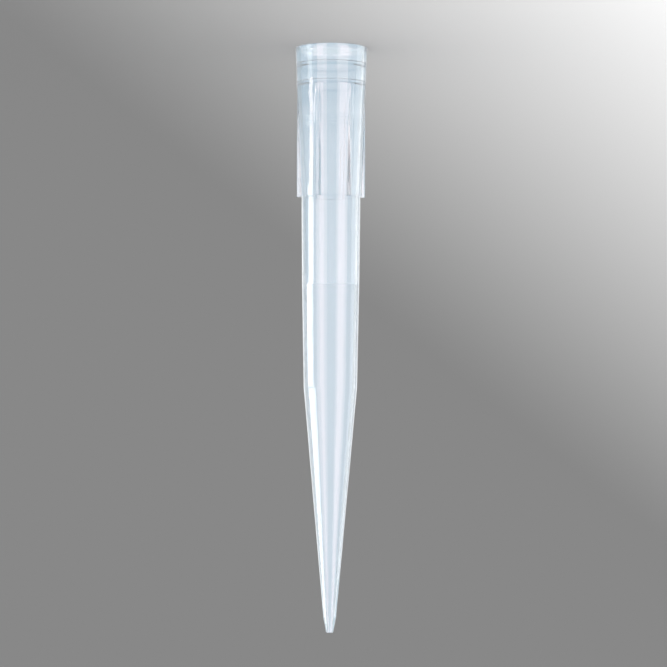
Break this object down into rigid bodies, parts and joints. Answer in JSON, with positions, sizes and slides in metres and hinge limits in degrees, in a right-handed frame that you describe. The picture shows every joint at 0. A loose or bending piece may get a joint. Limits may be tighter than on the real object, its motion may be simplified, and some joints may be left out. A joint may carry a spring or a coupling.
{
  "type": "pipette tip",
  "caption": "Slender conical pipette tip moulded in one piece, with a ribbed collar, two sealing ridges in its seat and a fine orifice.",
  "frame": {"origin": "middle of the mouth, on the surface that the tip stands on", "axes": "+Z along the tip's axis, from the mouth to the orifice; +X through the middle of a rib"},
  "size_m": [0.0088, 0.0088, 0.071],
  "materials": {
    "natural_polypropylene": "translucent natural polypropylene, smooth as moulded"
  },
  "bodies": {
    "root": {"pipette_tip": "natural_polypropylene"}
  },
  "joints": []
}
